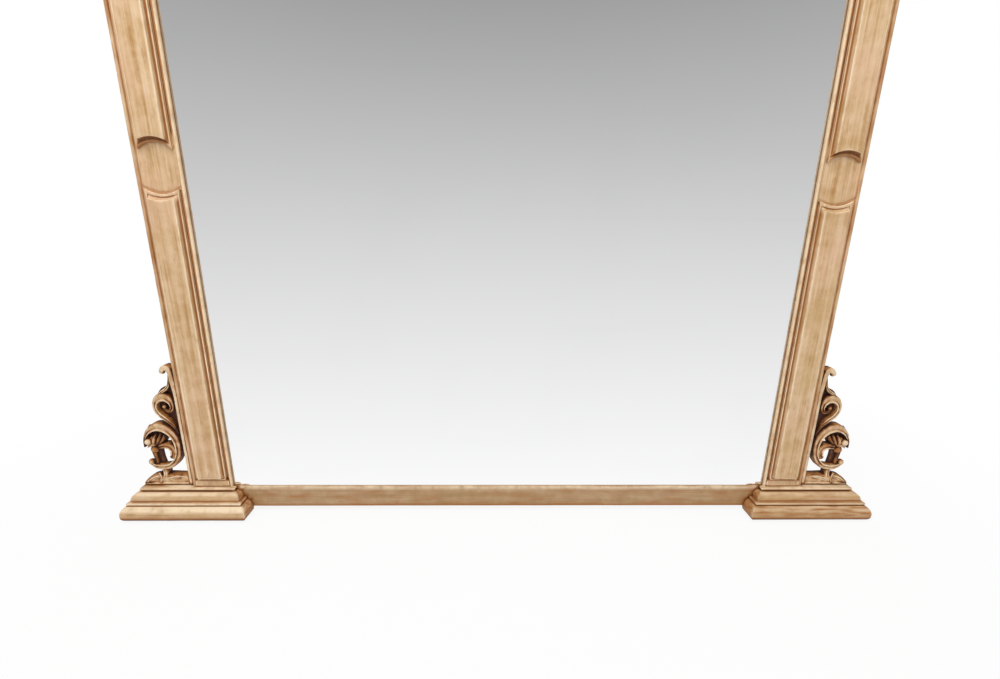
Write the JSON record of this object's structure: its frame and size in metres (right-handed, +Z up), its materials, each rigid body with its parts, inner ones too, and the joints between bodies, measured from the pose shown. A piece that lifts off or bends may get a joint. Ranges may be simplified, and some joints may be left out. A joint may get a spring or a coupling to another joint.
{
  "type": "overmantel mirror",
  "caption": "Wide overmantel mirror in pale gold limed wood: panelled pilasters with scroll brackets on stepped plinths, plain rails, moulded cornice, silvered plate and boarded back.",
  "frame": {"origin": "on the mantel shelf at mid width, midway between the plinths, below the face of the glass", "axes": "+X to the viewer's right, -Y out of the mirror towards the viewer, +Z up"},
  "size_m": [1.5, 0.0771, 1.4],
  "materials": {
    "limed_gilt_wood": "pale gold limed wood with brown glaze in the hollows",
    "silvered_glass": "silvered plate",
    "bare_pine": "aged bare pine",
    "brass_hangers": "dull brass",
    "steel_screws": "dull steel"
  },
  "bodies": {
    "frame": {"backboard_1": "bare_pine", "backboard_2": "bare_pine", "backboard_3": "bare_pine", "backboard_4": "bare_pine", "backboard_screws": "steel_screws", "bead_inner_left": "limed_gilt_wood", "bead_inner_right": "limed_gilt_wood", "bead_outer_left": "limed_gilt_wood", "bead_outer_right": "limed_gilt_wood", "bracket_foot_left": "limed_gilt_wood", "bracket_foot_right": "limed_gilt_wood", "bracket_inner_curl_left": "limed_gilt_wood", "bracket_inner_curl_right": "limed_gilt_wood", "bracket_lower_scroll_left": "limed_gilt_wood", "bracket_lower_scroll_right": "limed_gilt_wood", "bracket_spine_left": "limed_gilt_wood", "bracket_spine_right": "limed_gilt_wood", "bracket_upper_scroll_left": "limed_gilt_wood", "bracket_upper_scroll_right": "limed_gilt_wood", "capital_left": "limed_gilt_wood", "capital_right": "limed_gilt_wood", "cornice_core": "limed_gilt_wood", "cornice_ovolo_front": "limed_gilt_wood", "cornice_ovolo_left": "limed_gilt_wood", "cornice_ovolo_right": "limed_gilt_wood", "cornice_top": "limed_gilt_wood", "frieze_block_left": "limed_gilt_wood", "frieze_block_right": "limed_gilt_wood", "glass_blocks": "bare_pine", "hanger_screws": "steel_screws", "hanger_strap_left": "brass_hangers", "hanger_strap_right": "brass_hangers", "mirror_plate": "silvered_glass", "panel_lower_left": "limed_gilt_wood", "panel_lower_right": "limed_gilt_wood", "panel_upper_left": "limed_gilt_wood", "panel_upper_right": "limed_gilt_wood", "pilaster_foot_left": "limed_gilt_wood", "pilaster_foot_right": "limed_gilt_wood", "pilaster_head_left": "limed_gilt_wood", "pilaster_head_right": "limed_gilt_wood", "plinth_base_left": "limed_gilt_wood", "plinth_base_right": "limed_gilt_wood", "plinth_cap_left": "limed_gilt_wood", "plinth_cap_right": "limed_gilt_wood", "plinth_core_left": "limed_gilt_wood", "plinth_core_right": "limed_gilt_wood", "plinth_ovolo_front_left": "limed_gilt_wood", "plinth_ovolo_front_right": "limed_gilt_wood", "plinth_ovolo_inner_left": "limed_gilt_wood", "plinth_ovolo_inner_right": "limed_gilt_wood", "plinth_ovolo_outer_left": "limed_gilt_wood", "plinth_ovolo_outer_right": "limed_gilt_wood", "rail_bottom": "limed_gilt_wood", "rail_top": "limed_gilt_wood", "stile_left": "limed_gilt_wood", "stile_right": "limed_gilt_wood"},
    "ring_left": {"hanger_ring_left": "brass_hangers"},
    "ring_right": {"hanger_ring_right": "brass_hangers"}
  },
  "joints": [
    {"name": "ring_left_swing", "type": "hinge", "parent": "frame", "child": "ring_left", "pos_m": [-0.5895, 0.0336, 0.98], "axis": [1, 0, 0], "range_deg": [0, 180]},
    {"name": "ring_right_swing", "type": "hinge", "parent": "frame", "child": "ring_right", "pos_m": [0.5895, 0.0336, 0.98], "axis": [1, 0, 0], "range_deg": [0, 180]}
  ]
}
